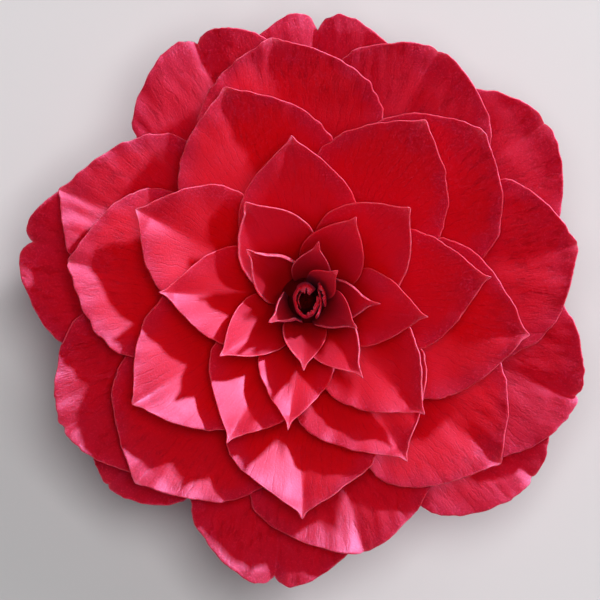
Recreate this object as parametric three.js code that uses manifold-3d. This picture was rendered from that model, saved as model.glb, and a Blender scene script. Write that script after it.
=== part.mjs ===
// A formal double camellia bloom, as picked, lying face up. Millimetres, +Z up along the bloom's axis.
// The origin is under the middle of the bloom, on the surface that it lies on.
// Petals overlap in a spiral round a rolled heart, on a short receptacle that bracts and sepals clasp.

import * as THREE from "three";
import { mergeVertices } from "three/addons/utils/BufferGeometryUtils.js";
import Module from "manifold-3d";

const wasm = await Module();
wasm.setup();

// Sizes

const PETAL_THICKNESS = 0.75;
const ROOT_HEIGHT = 10; // where the petals leave the receptacle
const FIRST_SPREAD = 6.2; // how wide the innermost petal opens
const SPREAD_STEP = 1.45; // what each later petal adds
const SPREAD_EASING = 0.0095; // how that growth slows towards the rim
const RISE = 26; // of the innermost petals' tips over their roots
const RISE_ENDS = 84; // the spread at which a petal would lie flat
const RISE_FALL = 2.2; // how late in the spiral the tips come down
const ARCH = 0.5; // how a petal rises: 1 is straight, less is steep at its root and then flatter
const ARCH_INNER = 0.4; // what the innermost petals add to that
const ARCH_INNER_FADES = 13; // over what spread this fades
const ARCH_OUTER = 0.5; // what the outermost petals add
const ARCH_OUTER_FROM = 25;
const ARCH_OUTER_OVER = 30;
const REFLEX = 3; // how far the outermost petals bend back down
const REFLEX_FROM = 30; // the spread from which petals bend back
const REFLEX_OVER = 21;
const REFLEX_POWER = 1.9;
const BEND_FROM = 0.5; // the share of its spread at which a petal starts to bend back
const ROOT_FREE = 1.6; // from the axis to the roots of the innermost petals
const ROOT_GAIN = 0.12; // what that gains with the spread
const CLAW_SHARE = 0.25; // a petal's width at its root, as a share of its widest
const CLAW_TAPER = 1.5; // how slowly it widens from there
const POINTED_END = { closing: 1.45, rounding: 0.98 }; // how the margins of a plain point come together
const ROUND_END = { closing: 2.2, rounding: 0.54 };
const CUP = 0.9; // how far a petal's margins stand over its middle line
const LIFT = 0.4; // the most that a tip is lifted or lowered by chance
const ROLL = 0.025; // the most that a petal leans to a side by chance
const KEEL_FOLD = 2.4; // how far a petal folds up on both sides of its middle line, towards the tip
const KEEL_WIDTH = 4.5; // from the middle line to where most of that is reached
const KEEL_SOFTNESS = 0.5; // how rounded the fold is
const KEEL_POWER = 3; // how late towards the tip it comes up
const RUFFLE_SHARE = 0.011; // the height of a margin's waves, as a share of the reach
const RUFFLE_WAVES = 11; // radians of wave along a margin
const LOBE_HALF_WIDTH = 5.2; // from a notch to the tops of the lobes beside it
const LOBE_POWER = 6; // how close to the end the lobes stand out

const HEART_RADIUS = 2.3;
const HEART_TOP = 31.5;
const HEART_PIT_RADIUS = 1.45;
const HEART_PIT_FLOOR_RADIUS = 1.16;
const HEART_PIT_DEPTH = 3.2;
const RECEPTACLE = [
  [0, 9],
  [9, 9],
  [10.5, 12],
  [8, 20],
  [4, 26.5],
  [2.6, 28],
]; // radius and height, from its foot up to the heart

const SEAT_GAP = 0.3; // between pieces that touch
const CALYX_FOOT_RADIUS = 6;
const CALYX_TOP = 8.7;
const CALYX_SIDE = [
  [8, 1.6],
  [9.8, 4.4],
  [10.4, 7.4],
  [9.6, CALYX_TOP],
]; // radius and height, from its foot to its top
const SCALE_THICKNESS = 0.9;
const SCALE_ROOT = 3.6; // from the axis to the roots of the bracts and sepals
const SCALE_RISE = 1.7; // how late a scale turns up
const SCALE_SHOULDER = 0.6; // where a scale is widest, as a share of its reach
const STALK_RADIUS = 2.2;
const STALK_TOP = 3.4;
const STALK_CUT = 0.6; // the broken end's height over the surface
const STALK_BEVEL = 0.5;

const RANDOM_SEED = 20;
const MERGE_WITHIN = 1e-4; // points closer than this are one
const SLOPE_STEP = 0.05; // the step over which a blade's slope is taken

// The petals from the heart outwards, each with: turn round the axis (degrees), reach from the axis to the tip,
// widest to the left and to the right of its middle line, where it is widest (share of the reach),
// how full its end is (0 a plain point, 1 round), and how deep its end is notched.
const PETALS = [
  [43, 6.7, 3.3, 2.9, 0.6, 0.3, 0],
  [211, 6.8, 3.5, 3.6, 0.45, 0.35, 0],
  [331, 9.3, 4.2, 3.3, 0.45, 0.35, 0],
  [78, 9.5, 3.8, 3.6, 0.55, 0.25, 0],
  [268, 11.4, 3.9, 4.2, 0.5, 0.3, 0],
  [357, 11.9, 4.7, 4.1, 0.5, 0.1, 0],
  [140, 12.8, 5.2, 5.1, 0.5, 0.35, 0],
  [306, 15.8, 5.0, 5.1, 0.5, 0.25, 0],
  [59, 16.0, 5.6, 6.0, 0.52, 0.4, 0],
  [213, 17.1, 4.8, 6.0, 0.48, 0.4, 0],
  [352, 20.4, 7.0, 6.8, 0.48, 0.3, 0],
  [122, 19.3, 7.1, 7.7, 0.52, 0.5, 0],
  [262, 21.8, 6.6, 6.9, 0.52, 0.15, 0],
  [41.5, 23.3, 8.8, 9.2, 0.54, 0.5, 0],
  [177, 24.6, 8.7, 8.8, 0.52, 0.25, 0],
  [316, 27.6, 9.6, 9.0, 0.52, 0.35, 0],
  [95, 27.7, 10.6, 10.5, 0.52, 0.4, 0],
  [241, 27.5, 9.0, 10.2, 0.55, 0.2, 0],
  [7, 31.3, 10.2, 11.0, 0.58, 0.25, 0],
  [152, 32.6, 11.4, 11.2, 0.6, 0.5, 0],
  [302, 32.0, 12.8, 12.2, 0.55, 0.25, 0],
  [56.5, 36.6, 12.4, 13.2, 0.58, 0.55, 0],
  [211, 34.3, 12.6, 13.2, 0.6, 0.55, 0],
  [351, 38.2, 14.4, 14.0, 0.58, 0.45, 0],
  [111, 38.7, 14.0, 14.2, 0.62, 0.55, 0],
  [269, 37.0, 13.4, 13.5, 0.68, 0.2, 0],
  [44, 41.9, 13.8, 16.0, 0.66, 0.7, 0],
  [171, 41.2, 14.6, 15.2, 0.68, 0.65, 0],
  [320, 43.4, 14.4, 15.6, 0.68, 0.5, 0],
  [97.5, 45.1, 14.8, 17.4, 0.68, 0.75, 0],
  [227, 42.8, 16.8, 16.4, 0.66, 0.6, 0],
  [11.5, 47.5, 15.0, 16.4, 0.7, 0.75, 0],
  [156, 46.3, 14.2, 17.0, 0.68, 0.6, 0],
  [283, 44.4, 16.0, 17.4, 0.7, 0.65, 0.8],
  [62, 48.4, 15.2, 16.2, 0.74, 0.85, 0.8],
  [208, 47.1, 15.0, 16.4, 0.72, 0.8, 0.8],
  [340.5, 49.4, 15.8, 15.2, 0.76, 0.85, 1.2],
  [113, 48.0, 16.4, 15.0, 0.76, 1.0, 2.2],
  [263.5, 48.0, 15.0, 16.2, 0.74, 0.9, 2.6],
  [36.5, 51.2, 14.8, 16.2, 0.76, 0.85, 1.0],
  [168, 48.4, 17.0, 14.0, 0.76, 0.9, 2.6],
  [322, 49.6, 14.0, 16.0, 0.76, 0.9, 1.0],
  [87.5, 47.0, 13.5, 16.0, 0.83, 1.0, 3.4],
  [223, 46.8, 12.0, 12.0, 0.76, 0.9, 0.8],
];

// How finely a petal is laid out, by its reach.
const PETAL_GRIDS = [
  { under: 20, rows: 5, columns: 6 },
  { under: 39, rows: 6, columns: 6 },
  { under: 60, rows: 7, columns: 8 },
];
const SCALE_GRID = { rows: 4, columns: 4 };
const ROW_CROWDING = { pointed: 1.3, round: 2 }; // how much closer rows lie towards a petal's end
const SCALE_ROW_CROWDING = 1.5;
const LATHE_SIDES = { heart: 12, calyx: 16, stalk: 16 };

// Bracts and sepals in rings from the foot upwards: count, turn of the first (degrees), reach from the axis,
// half width, height of the root and of the tip.
const SCALE_RINGS = [
  { count: 3, turn: 20, reach: 7.6, halfWidth: 3.9, foot: 1.1, tip: 3.6 },
  { count: 5, turn: 50, reach: 10.4, halfWidth: 4.9, foot: 1.9, tip: 7.2 },
  { count: 5, turn: 14, reach: 14.2, halfWidth: 6.8, foot: 3.2, tip: 13 },
];

// Small helpers

const radians = (degrees) => (degrees * Math.PI) / 180;
const between = (from, to, share) => from + (to - from) * share;

// Evenly spread draws from 0 to 1, the same on each run.
function seededDraws(seed) {
  let state = seed;
  return () => {
    state = (state * 1664525 + 1013904223) % 4294967296;
    return state / 4294967296;
  };
}

// A closed geometry as a solid that can be joined and cut.
function solidFrom(geometry) {
  geometry.deleteAttribute("normal");
  geometry.deleteAttribute("uv");
  const merged = mergeVertices(geometry, MERGE_WITHIN);
  return new wasm.Manifold(
    new wasm.Mesh({
      numProp: 3,
      vertProperties: merged.attributes.position.array,
      triVerts: new Uint32Array(merged.index.array),
    }),
  );
}

// The largest body of a joined solid, so that sealed hollows are filled and loose scraps are dropped.
function wholeBody(solid) {
  return solid.decompose().reduce((largest, body) => (body.volume() > largest.volume() ? body : largest));
}

function geometryFrom(solid) {
  const mesh = wholeBody(solid).getMesh();
  const geometry = new THREE.BufferGeometry();
  geometry.setAttribute("position", new THREE.BufferAttribute(mesh.vertProperties, 3));
  geometry.setIndex(new THREE.BufferAttribute(mesh.triVerts, 1));
  geometry.computeVertexNormals();
  return geometry;
}

// A solid of revolution about the axis, from a profile of [radius, height] pairs that closes on the axis or itself.
function turned(profile, sides) {
  const points = profile.map(([radius, height]) => new THREE.Vector2(radius, height));
  const geometry = new THREE.LatheGeometry(points, sides);
  geometry.rotateX(Math.PI / 2);
  return geometry;
}

// Blades: petals, bracts and sepals

// A blade is a thin sheet over the plane of (out, side), out being along its middle line and side to its left.
// blade.halfWidth(share, isLeft) and blade.height(out, side) give its form; the sheet is laid out in rows from
// the root to the tip and in columns from its right margin to its left one, and closes in a point at the tip.
function bladeSolid(blade) {
  const { rows, columns, rootShare, reach, thickness, turn } = blade;
  const places = [];
  for (let row = 0; row < rows; row++) {
    const share = rootShare + (1 - rootShare) * blade.rowSpacing(row / rows);
    for (let column = 0; column <= columns; column++) {
      const across = (2 * column) / columns - 1;
      const side = across * blade.halfWidth(share, across > 0);
      places.push([blade.outAt(share * reach, side), side]);
    }
  }
  places.push([reach, 0]);
  const positions = [];
  for (const face of [1, -1]) {
    for (const [out, side] of places) {
      positions.push(...bladePoint(blade, out, side, (face * thickness) / 2, turn));
    }
  }
  const geometry = new THREE.BufferGeometry();
  geometry.setAttribute("position", new THREE.Float32BufferAttribute(positions, 3));
  geometry.setIndex(bladeTriangles(rows, columns, places.length));
  return solidFrom(geometry);
}

// A point offset from the sheet along its normal, turned to the blade's place round the axis.
function bladePoint(blade, out, side, offset, turn) {
  const height = blade.height(out, side);
  const slopeOut = (blade.height(out + SLOPE_STEP, side) - height) / SLOPE_STEP;
  const slopeSide = (blade.height(out, side + SLOPE_STEP) - height) / SLOPE_STEP;
  const normal = new THREE.Vector3(-slopeOut, -slopeSide, 1).normalize();
  const point = new THREE.Vector3(out, side, height).addScaledVector(normal, offset);
  return point.applyAxisAngle(new THREE.Vector3(0, 0, 1), radians(turn)).toArray();
}

// Triangles of a blade, split alike on both faces, with a rim all round.
function bladeTriangles(rows, columns, perFace) {
  const across = columns + 1;
  const tip = perFace - 1;
  const upper = [];
  for (let row = 0; row < rows - 1; row++) {
    for (let column = 0; column < columns; column++) {
      const a = row * across + column;
      const b = a + across;
      upper.push([a, b, b + 1], [a, b + 1, a + 1]);
    }
  }
  const lastRow = (rows - 1) * across;
  for (let column = 0; column < columns; column++) {
    upper.push([lastRow + column, tip, lastRow + column + 1]);
  }
  const rim = [];
  for (let column = columns; column > 0; column--) rim.push(column);
  for (let row = 0; row < rows; row++) rim.push(row * across);
  rim.push(tip);
  for (let row = rows - 1; row > 0; row--) rim.push(row * across + columns);
  const triangles = [];
  for (const [a, b, c] of upper) {
    triangles.push(a, b, c, a + perFace, c + perFace, b + perFace);
  }
  rim.forEach((a, k) => {
    const b = rim[(k + 1) % rim.length];
    triangles.push(b, a, a + perFace, b, a + perFace, b + perFace);
  });
  return triangles;
}

// Petals

// How wide a petal opens by its place in the spiral.
const spreadAt = (place) => FIRST_SPREAD + SPREAD_STEP * place - SPREAD_EASING * place ** 2;

// How a petal of that spread rises from its root, as the power of its share of the spread.
function archAt(spread) {
  const inner = ARCH_INNER * Math.exp((FIRST_SPREAD - spread) / ARCH_INNER_FADES);
  const outer = ARCH_OUTER * Math.min(1, Math.max(0, (spread - ARCH_OUTER_FROM) / ARCH_OUTER_OVER));
  return ARCH + inner + outer;
}

// The height of a petal of that spread at that distance from the axis. At any distance a wider petal lies lower,
// so that the petals lie over each other and never cross.
function petalHeight(radius, spread) {
  const share = radius / spread;
  const rise = RISE * (1 - (spread / RISE_ENDS) ** RISE_FALL);
  const reflex = REFLEX * (Math.max(0, spread - REFLEX_FROM) / REFLEX_OVER) ** REFLEX_POWER;
  const bentBack = (Math.max(0, share - BEND_FROM) / (1 - BEND_FROM)) ** 2;
  return ROOT_HEIGHT + rise * share ** archAt(spread) - reflex * bentBack;
}

// Half the width of a petal at a share of its reach, from its widest half width.
function petalHalfWidth(widest, share, shoulder, fullness) {
  if (share <= shoulder) {
    const swell = Math.sin((Math.PI / 2) * (share / shoulder)) ** CLAW_TAPER;
    return widest * between(CLAW_SHARE, 1, swell);
  }
  const towardsTip = (share - shoulder) / (1 - shoulder);
  const closing = between(POINTED_END.closing, ROUND_END.closing, fullness);
  const rounding = between(POINTED_END.rounding, ROUND_END.rounding, fullness);
  return widest * (1 - towardsTip ** closing) ** rounding;
}

// How far a petal folds up beside its middle line.
function keelFold(side, share) {
  const beside = Math.hypot(side, KEEL_SOFTNESS) - KEEL_SOFTNESS;
  return KEEL_FOLD * (1 - Math.exp(-beside / KEEL_WIDTH)) * share ** KEEL_POWER;
}

function petalBlade([turn, reach, left, right, shoulder, fullness, notch], place, draw) {
  const spread = spreadAt(place);
  const { rows, columns } = PETAL_GRIDS.find((grid) => reach < grid.under);
  const wavePhase = [draw() * 2 * Math.PI, draw() * 2 * Math.PI];
  const lift = LIFT * (2 * draw() - 1);
  const roll = ROLL * (2 * draw() - 1);
  const halfWidth = (share, isLeft) => petalHalfWidth(isLeft ? left : right, share, shoulder, fullness);
  return {
    turn,
    reach,
    thickness: PETAL_THICKNESS,
    rows,
    columns,
    rootShare: (ROOT_FREE + ROOT_GAIN * spread) / reach,
    rowSpacing: (t) => 1 - (1 - t) ** between(ROW_CROWDING.pointed, ROW_CROWDING.round, fullness),
    halfWidth,
    outAt: (out, side) => {
      const lobe = Math.abs(side) / LOBE_HALF_WIDTH;
      return out + notch * lobe * Math.exp(1 - lobe) * (out / reach) ** LOBE_POWER;
    },
    height: (out, side) => {
      const share = Math.min(1, out / reach);
      const margin = Math.min(1, Math.abs(side) / (side > 0 ? left : right)) ** 2 * share ** 2;
      const wave = Math.sin(RUFFLE_WAVES * share + wavePhase[side > 0 ? 0 : 1]);
      const ruffle = RUFFLE_SHARE * reach * margin * wave;
      const stance = lift * share ** 2 + roll * side * share;
      const middle = petalHeight(Math.hypot(out, side), spread);
      return middle + CUP * margin + keelFold(side, share) + ruffle + stance;
    },
  };
}

// The middle of the bloom that the petals stand on, narrowing upwards to the rolled heart with its small pit.
function heartAndReceptacle() {
  const pitFloor = HEART_TOP - HEART_PIT_DEPTH;
  return turned(
    [
      ...RECEPTACLE,
      [HEART_RADIUS, HEART_TOP - 1],
      [HEART_RADIUS - 0.3, HEART_TOP],
      [HEART_PIT_RADIUS, HEART_TOP - 0.1],
      [HEART_PIT_FLOOR_RADIUS, pitFloor],
      [0, pitFloor],
    ],
    LATHE_SIDES.heart,
  );
}

function corollaGeometry() {
  const draw = seededDraws(RANDOM_SEED);
  const petals = PETALS.map((petal, place) => bladeSolid(petalBlade(petal, place, draw)));
  const corolla = petals.reduce((joined, petal) => joined.add(petal), solidFrom(heartAndReceptacle()));
  return geometryFrom(corolla);
}

// Calyx

function scaleBlade(ring, index) {
  const { reach, halfWidth, foot, tip, count, turn } = ring;
  return {
    turn: turn + (360 / count) * index,
    reach,
    thickness: SCALE_THICKNESS,
    rows: SCALE_GRID.rows,
    columns: SCALE_GRID.columns,
    rootShare: SCALE_ROOT / reach,
    rowSpacing: (t) => 1 - (1 - t) ** SCALE_ROW_CROWDING,
    halfWidth: (share) => petalHalfWidth(halfWidth, share, SCALE_SHOULDER, 1),
    outAt: (out) => out,
    height: (out, side) => {
      const share = (Math.hypot(out, side) - SCALE_ROOT) / (reach - SCALE_ROOT);
      return between(foot, tip, Math.max(0, share) ** SCALE_RISE);
    },
  };
}

// The cup under the bloom with its flat foot, and a socket for the stalk.
function calyxCup() {
  const socketRadius = STALK_RADIUS + SEAT_GAP;
  return turned(
    [
      [socketRadius, 0],
      [CALYX_FOOT_RADIUS, 0],
      ...CALYX_SIDE,
      [0, CALYX_TOP],
      [0, STALK_TOP + SEAT_GAP],
      [socketRadius, STALK_TOP + SEAT_GAP],
      [socketRadius, 0],
    ],
    LATHE_SIDES.calyx,
  );
}

function calyxGeometry() {
  let calyx = solidFrom(calyxCup());
  for (const ring of SCALE_RINGS) {
    for (let index = 0; index < ring.count; index++) {
      calyx = calyx.add(bladeSolid(scaleBlade(ring, index)));
    }
  }
  return geometryFrom(calyx);
}

// Stalk

function stalkGeometry() {
  return turned(
    [
      [0, STALK_CUT],
      [STALK_RADIUS - STALK_BEVEL, STALK_CUT],
      [STALK_RADIUS, STALK_CUT + STALK_BEVEL],
      [STALK_RADIUS, STALK_TOP],
      [0, STALK_TOP],
    ],
    LATHE_SIDES.stalk,
  );
}

// The bloom

const petalRed = new THREE.MeshStandardMaterial({ color: 0xc4122f, roughness: 0.5, metalness: 0 });
const calyxGreen = new THREE.MeshStandardMaterial({ color: 0x7c8a4a, roughness: 0.6, metalness: 0 });
const stalkBrown = new THREE.MeshStandardMaterial({ color: 0x6f6a3c, roughness: 0.8, metalness: 0 });

function piece(name, geometry, material) {
  const mesh = new THREE.Mesh(geometry, material);
  mesh.name = name;
  return mesh;
}

const camellia = new THREE.Group();
camellia.add(piece("petals", corollaGeometry(), petalRed));
camellia.add(piece("calyx", calyxGeometry(), calyxGreen));
camellia.add(piece("stalk", stalkGeometry(), stalkBrown));

// The bloom isn't quite even, so its axis stands a little off the middle of its box.
const box = new THREE.Box3().setFromObject(camellia);
camellia.position.set(-(box.min.x + box.max.x) / 2, -(box.min.y + box.max.y) / 2, -box.min.z);

export default camellia;
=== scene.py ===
"""A formal double camellia bloom, as picked, lying face up.

The petals, heart, calyx and stalk are worked out in millimetres in the bloom's own frame, with +Z along its
axis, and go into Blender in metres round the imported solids. Angles are in radians, except a turn and a half
angle, which are in degrees.
"""

import functools
import logging
import math
from dataclasses import dataclass, field
from enum import Enum

import bpy
import numpy as np
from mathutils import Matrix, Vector

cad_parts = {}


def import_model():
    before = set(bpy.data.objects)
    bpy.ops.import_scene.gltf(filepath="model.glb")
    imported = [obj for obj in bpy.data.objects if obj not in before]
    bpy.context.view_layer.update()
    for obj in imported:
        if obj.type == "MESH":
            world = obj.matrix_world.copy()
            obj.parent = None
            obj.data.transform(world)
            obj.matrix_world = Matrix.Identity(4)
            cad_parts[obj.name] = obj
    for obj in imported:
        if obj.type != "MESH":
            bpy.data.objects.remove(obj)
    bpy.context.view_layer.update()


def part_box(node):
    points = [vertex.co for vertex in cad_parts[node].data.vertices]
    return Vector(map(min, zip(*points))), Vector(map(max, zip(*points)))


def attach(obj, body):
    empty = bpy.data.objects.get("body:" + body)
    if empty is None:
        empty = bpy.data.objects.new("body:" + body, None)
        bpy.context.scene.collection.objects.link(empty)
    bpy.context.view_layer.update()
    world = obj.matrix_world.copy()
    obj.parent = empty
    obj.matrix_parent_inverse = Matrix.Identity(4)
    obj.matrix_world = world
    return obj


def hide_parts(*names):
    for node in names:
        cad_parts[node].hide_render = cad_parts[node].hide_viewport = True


LOG = logging.getLogger("camellia")
MM = 0.001
TINY = 1e-6
LEAST_LENGTH = 1e-9
END_SLANT = 0.6

Grid = np.ndarray
Colour = tuple[float, float, float, float]
Profile = tuple[tuple[float, float], ...]
Socket = bpy.types.NodeSocket
Value = Socket | float | Colour


class Slot(Enum):
    """The record's material slots."""

    PETAL = "petal"
    CALYX = "calyx"
    STALK = "stalk"


class Node(Enum):
    """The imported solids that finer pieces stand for."""

    PETALS = "petals"
    CALYX = "calyx"
    STALK = "stalk"


# ---------------------------------------------------------------- values and draws


@dataclass(frozen=True)
class Band:
    """A smooth passage: what is at low becomes start, and what is at high becomes end."""

    low: float
    high: float
    start: float = 0.0
    end: float = 1.0

    def of(self, value: Grid | float) -> Grid:
        """Passes a value, or a grid of them, through the band."""
        t = np.clip((value - self.low) / (self.high - self.low), 0.0, 1.0)
        return self.start + (self.end - self.start) * t * t * (3.0 - 2.0 * t)


# How many radians a margin rolls before its paler back begins to show, and until it shows in full.
CURL_SHOWN = Band(0.5, 1.5)


class SeededDraws:
    """Evenly spread draws from 0 to 1, the same on each run and the same as in the solids."""

    FACTOR = 1664525
    STEP = 1013904223
    RANGE = 4294967296

    def __init__(self, seed: int) -> None:
        """Starts the draws from a seed."""
        self.state = seed

    def draw(self) -> float:
        """The next draw."""
        self.state = (self.state * self.FACTOR + self.STEP) % self.RANGE
        return self.state / self.RANGE


class Undulation:
    """A gentle unevenness: a few sine waves in different directions."""

    LENGTHS = (0.6, 1.6)

    def __init__(self, seed: int, wavelength: float, waves: int) -> None:
        """Draws the waves.

        Args:
            seed: what the draws start from.
            wavelength: the middle wavelength in millimetres.
            waves: how many waves are added up.
        """
        rng = np.random.RandomState(seed)
        angles = rng.uniform(0.0, math.tau, waves)
        numbers = math.tau / (wavelength * rng.uniform(*self.LENGTHS, waves))
        self.out = numbers * np.cos(angles)
        self.side = numbers * np.sin(angles)
        self.phase = rng.uniform(0.0, math.tau, waves)

    def at(self, out: Grid, side: Grid) -> Grid:
        """The unevenness at points, from about -1 to 1.

        Args:
            out: distances along the sheet.
            side: distances across it.

        Returns:
            One value for each point.
        """
        total = np.zeros(np.broadcast(out, side).shape)
        for a, b, phase in zip(self.out, self.side, self.phase):
            total += np.sin(a * out + b * side + phase)
        return total / len(self.phase)


@dataclass(frozen=True)
class Waver:
    """A kind of unevenness: its first seed, its middle wavelength and how many waves it adds up."""

    seed: int
    wavelength: float
    waves: int = 5

    def drawn(self, number: int) -> Undulation:
        """The unevenness of the piece with this number."""
        return Undulation(self.seed + number, self.wavelength, self.waves)


# ---------------------------------------------------------------- points in rows and columns


def turned(points: Grid, degrees: float) -> Grid:
    """Turns points round the axis.

    Args:
        points: the points.
        degrees: how far they turn, from +X towards +Y.

    Returns:
        The turned points.
    """
    c, s = math.cos(math.radians(degrees)), math.sin(math.radians(degrees))
    x, y, z = points[..., 0], points[..., 1], points[..., 2]
    return np.stack([c * x - s * y, s * x + c * y, z], axis=-1)


def facing(middle: Grid) -> Grid:
    """The direction in which each point of a laid-out surface faces.

    Args:
        middle: points in rows and columns.

    Returns:
        A unit vector for each point. A last row that is drawn together takes it from the row before.
    """
    normal = np.cross(np.gradient(middle, axis=0), np.gradient(middle, axis=1))
    length = np.linalg.norm(normal, axis=-1, keepdims=True)
    normal = normal / np.maximum(length, LEAST_LENGTH)
    if length[-1].max() < TINY:
        normal[-1] = normal[-2]
    return normal


def crowded(count: int, power: float) -> Grid:
    """Shares from 0 to 1 for so many rows: even at a power of 1, and closer towards 1 at more."""
    return (1 - (1 - np.linspace(0.0, 1.0, count)) ** power)[:, None]


def full_turn(columns: int) -> Grid:
    """The angles of columns that go once round the axis."""
    return np.linspace(0.0, math.tau, columns, endpoint=False)[None, :]


def revolved(radius: Grid, height: Grid, angle: Grid) -> Grid:
    """Points at these distances from the axis, heights and angles round it."""
    return np.stack([radius * np.cos(angle), radius * np.sin(angle), height + 0 * angle], axis=-1)


def along_profile(profile: Profile, rows: int) -> tuple[Grid, Grid]:
    """Points along a profile, as many on each of its stretches.

    Args:
        profile: the radius and height of each corner.
        rows: how many points there are.

    Returns:
        The points' radii and their heights.
    """
    corners = np.array(profile)
    steps = np.linspace(0, len(profile) - 1, rows)
    radius, height = (np.interp(steps, np.arange(len(profile)), column)[:, None] for column in corners.T)
    return radius, height


def to_margin(along: Grid, across: Grid, half: Grid, reach: float) -> Grid:
    """How far points lie from the margin. It slants near the end, so the way to the end counts in part."""
    return np.minimum((1 - np.abs(across)) * half, (1 - along) * reach * END_SLANT)


def rounded(edge: Grid, width: float) -> Grid:
    """A sheet's share of its full thickness, which it has from this width inside its round margin."""
    return np.sqrt(1 - (1 - np.clip(edge / width, 0.0, 1.0)) ** 2)


def link(ob: bpy.types.Object) -> bpy.types.Object:
    """Puts an object in the scene and gives it back."""
    bpy.context.scene.collection.objects.link(ob)
    return ob


@dataclass
class Sheet:
    """A thin sheet as rows of points on its two faces, in millimetres.

    The first row is the root. If pointed, the last row is drawn together to one point. If around, the last
    column joins the first. A trait has a value for each point, for each row or column, or one for all.
    """

    upper: Grid
    lower: Grid
    traits: dict[str, Grid | float]
    pointed: bool = True
    around: bool = False

    def to_object(self, name: str) -> bpy.types.Object:
        """Makes the closed mesh object.

        Args:
            name: the piece's name.

        Returns:
            The object, linked to the scene.
        """
        sides = [self._kept(face.reshape(-1, 3)) for face in (self.upper, self.lower)]
        mesh = bpy.data.meshes.new(name)
        mesh.from_pydata((np.vstack(sides) * MM).tolist(), [], self._faces(len(sides[0])))
        for trait, value in self.traits.items():
            values = self._kept(np.broadcast_to(value, self.upper.shape[:2]).reshape(-1))
            attribute = mesh.attributes.new(trait, "FLOAT", "POINT")
            attribute.data.foreach_set("value", np.concatenate([values, values]).astype(np.float32))
        mesh.polygons.foreach_set("use_smooth", [True] * len(mesh.polygons))
        mesh.update()
        return link(bpy.data.objects.new(name, mesh))

    def _kept(self, values: Grid) -> Grid:
        """Keeps one point of a last row that is drawn together.

        Args:
            values: what each point of one side has, row by row.

        Returns:
            The same for the points that go into the mesh.
        """
        if not self.pointed:
            return values
        rows, columns = self.upper.shape[:2]
        last_row = (rows - 1) * columns
        tip = last_row + columns // 2
        return np.concatenate([values[:last_row], values[tip:tip + 1]])

    def _faces(self, count: int) -> list[tuple[int, ...]]:
        """The faces of both sides and of the rims between them.

        Args:
            count: how many points each side has.

        Returns:
            The numbers of each face's points.
        """
        rows, columns = self.upper.shape[:2]
        full_rows = rows - 1 if self.pointed else rows
        upper: list[tuple[int, ...]] = []
        for row in range(full_rows - 1):
            for column in range(columns if self.around else columns - 1):
                a = row * columns + column
                b = row * columns + (column + 1) % columns
                upper.append((a, a + columns, b + columns, b))
        if self.pointed:
            last = (full_rows - 1) * columns
            tip = full_rows * columns
            upper.extend((last + column, tip, last + column + 1) for column in range(columns - 1))
        faces = upper + [tuple(reversed([i + count for i in face])) for face in upper]
        for loop in self._rims(full_rows, columns):
            faces.extend((b, a, a + count, b + count) for a, b in zip(loop, loop[1:] + loop[:1]))
        return faces

    def _rims(self, full_rows: int, columns: int) -> list[list[int]]:
        """The open edges of one side.

        Args:
            full_rows: how many rows keep all their points.
            columns: how many points a row has.

        Returns:
            The numbers of each edge's points: two edges if the sheet closes on itself, and otherwise one.
        """
        top = [(full_rows - 1) * columns + column for column in range(columns)]
        if self.around:
            return [list(reversed(range(columns))), top]
        left = [row * columns for row in range(full_rows)]
        right = [row * columns + columns - 1 for row in reversed(range(full_rows))]
        end = [full_rows * columns] if self.pointed else top[1:-1]
        root = list(reversed(range(1, columns - 1)))
        return [left + end + right + root]


# ---------------------------------------------------------------- finishes


@dataclass(frozen=True)
class Grain:
    """A noise pattern: its grains in a unit of length, its detail and its roughness."""

    scale: float
    detail: float = 2.0
    roughness: float = 0.5


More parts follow.
